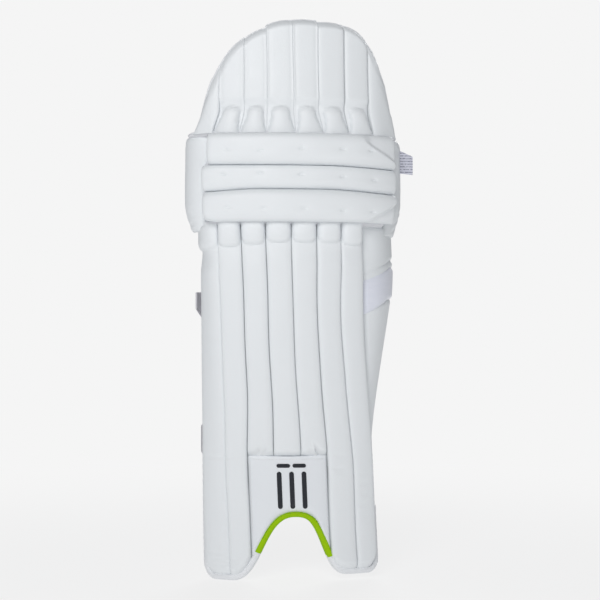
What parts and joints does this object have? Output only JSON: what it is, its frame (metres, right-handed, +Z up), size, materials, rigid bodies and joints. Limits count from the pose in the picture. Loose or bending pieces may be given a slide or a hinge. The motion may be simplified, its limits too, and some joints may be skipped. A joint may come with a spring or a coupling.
{
  "type": "cricket leg pad",
  "caption": "Cricket batting leg pad: padded vertical rolls on the shin and top hat, horizontal knee rolls, side wing, instep arch and three hook-and-loop straps.",
  "frame": {"origin": "on the ground below the middle of the standing pad, the middle of its bounding box", "axes": "+Z up the shin, -Y is the front that faces the bowler, +X is the wearer's outer side"},
  "size_m": [0.2984, 0.184, 0.7097],
  "materials": {
    "white_facing": "white polyurethane leather, satin, fine grain",
    "roll_foam": "dense foam with cane, matt",
    "backing_board": "laminated backing, brushed fabric face",
    "brushed_lining": "brushed knit lining",
    "green_binding": "lime green bound edge, satin",
    "satin_flash": "white satin mesh",
    "grey_webbing": "grey woven webbing",
    "loop_tape": "brushed loop tape",
    "label_cloth": "pale woven label, no text"
  },
  "bodies": {
    "shin": {"ankle_loop_patch": "loop_tape", "ankle_strap_anchor": "grey_webbing", "calf_loop_patch": "loop_tape", "calf_strap_anchor": "grey_webbing", "foot_binding_left": "white_facing", "foot_binding_right": "white_facing", "inner_wing": "brushed_lining", "instep_binding": "green_binding", "instep_bolster": "brushed_lining", "instep_foam": "roll_foam", "instep_panel": "white_facing", "shin_backing": "backing_board", "shin_bolster_left": "brushed_lining", "shin_bolster_right": "brushed_lining", "shin_core_1": "roll_foam", "shin_core_2": "roll_foam", "shin_core_3": "roll_foam", "shin_core_4": "roll_foam", "shin_core_5": "roll_foam", "shin_core_6": "roll_foam", "shin_core_7": "roll_foam", "shin_facing": "white_facing"},
    "side_wing": {"side_wing_flash": "satin_flash", "side_wing_lining": "brushed_lining", "side_wing_pad": "white_facing"},
    "lower_roll": {"knee_bolster_lower": "brushed_lining", "lower_roll_backing": "backing_board", "lower_roll_core": "roll_foam", "lower_roll_cover": "white_facing"},
    "middle_roll": {"knee_flap_left": "white_facing", "knee_flap_right": "white_facing", "knee_loop_tongue": "loop_tape", "knee_strap_anchor": "grey_webbing", "middle_roll_backing": "backing_board", "middle_roll_core": "roll_foam", "middle_roll_cover": "white_facing"},
    "upper_roll": {"knee_bolster_upper": "brushed_lining", "upper_roll_backing": "backing_board", "upper_roll_core": "roll_foam", "upper_roll_cover": "white_facing"},
    "top_hat": {"top_hat_backing": "backing_board", "top_hat_core_1": "roll_foam", "top_hat_core_2": "roll_foam", "top_hat_core_3": "roll_foam", "top_hat_core_4": "roll_foam", "top_hat_core_5": "roll_foam", "top_hat_core_6": "roll_foam", "top_hat_core_7": "roll_foam", "top_hat_core_8": "roll_foam", "top_hat_facing": "white_facing"},
    "knee_strap": {"knee_strap": "grey_webbing"},
    "knee_strap_tab": {"knee_strap_tab": "grey_webbing"},
    "calf_strap": {"calf_strap": "grey_webbing"},
    "calf_strap_tab": {"calf_strap_tab": "grey_webbing"},
    "ankle_strap": {"ankle_strap": "grey_webbing"},
    "ankle_strap_tab": {"ankle_strap_tab": "grey_webbing"},
    "size_label": {"size_label": "label_cloth"}
  },
  "joints": [
    {"name": "lower_roll_fold", "type": "hinge", "parent": "shin", "child": "lower_roll", "pos_m": [0, -0.03806, 0.453], "axis": [-1, 0, 0], "range_deg": [-2, 4], "stiffness_Nm_per_rad": 12},
    {"name": "middle_roll_fold", "type": "hinge", "parent": "lower_roll", "child": "middle_roll", "pos_m": [0, -0.03806, 0.4945], "axis": [-1, 0, 0], "range_deg": [-2, 4], "stiffness_Nm_per_rad": 12},
    {"name": "upper_roll_fold", "type": "hinge", "parent": "middle_roll", "child": "upper_roll", "pos_m": [0, -0.03806, 0.5245], "axis": [-1, 0, 0], "range_deg": [-2, 4], "stiffness_Nm_per_rad": 12},
    {"name": "top_hat_fold", "type": "hinge", "parent": "upper_roll", "child": "top_hat", "pos_m": [0, -0.03806, 0.5655], "axis": [-1, 0, 0], "range_deg": [-2, 4], "stiffness_Nm_per_rad": 12},
    {"name": "side_wing_fold", "type": "hinge", "parent": "shin", "child": "side_wing", "pos_m": [0.08041, -0.04151, 0.32], "axis": [0.0397, 0, -0.9992], "range_deg": [0, 40], "stiffness_Nm_per_rad": 0.5},
    {"name": "knee_strap_swing", "type": "hinge", "parent": "middle_roll", "child": "knee_strap", "pos_m": [0.11503, 0.0311, 0.509], "axis": [0, 0, -1], "range_deg": [0, 100]},
    {"name": "knee_tab_peel", "type": "hinge", "parent": "knee_strap", "child": "knee_strap_tab", "pos_m": [-0.14044, 0.0561, 0.509], "axis": [0, 0, -1], "range_deg": [0, 75]},
    {"name": "calf_strap_swing", "type": "hinge", "parent": "shin", "child": "calf_strap", "pos_m": [0.1129, 0.03933, 0.347], "axis": [0, 0, -1], "range_deg": [0, 100]},
    {"name": "calf_tab_peel", "type": "hinge", "parent": "calf_strap", "child": "calf_strap_tab", "pos_m": [-0.12313, 0.04107, 0.347], "axis": [0, 0, -1], "range_deg": [0, 75]},
    {"name": "ankle_strap_swing", "type": "hinge", "parent": "shin", "child": "ankle_strap", "pos_m": [0.08207, -0.03657, 0.172], "axis": [0, 0, -1], "range_deg": [0, 74]},
    {"name": "ankle_tab_peel", "type": "hinge", "parent": "ankle_strap", "child": "ankle_strap_tab", "pos_m": [-0.12514, 0.03577, 0.172], "axis": [0, 0, -1], "range_deg": [0, 75]},
    {"name": "size_label_flick", "type": "hinge", "parent": "middle_roll", "child": "size_label", "pos_m": [0.13229, -0.01075, 0.53], "axis": [0, 0, 1], "range_deg": [-40, 40], "stiffness_Nm_per_rad": 0.002}
  ],
  "couplings": [
    {"joint": "middle_roll_fold", "follows": "lower_roll_fold", "ratio": 1},
    {"joint": "upper_roll_fold", "follows": "lower_roll_fold", "ratio": 1},
    {"joint": "top_hat_fold", "follows": "lower_roll_fold", "ratio": 1}
  ]
}
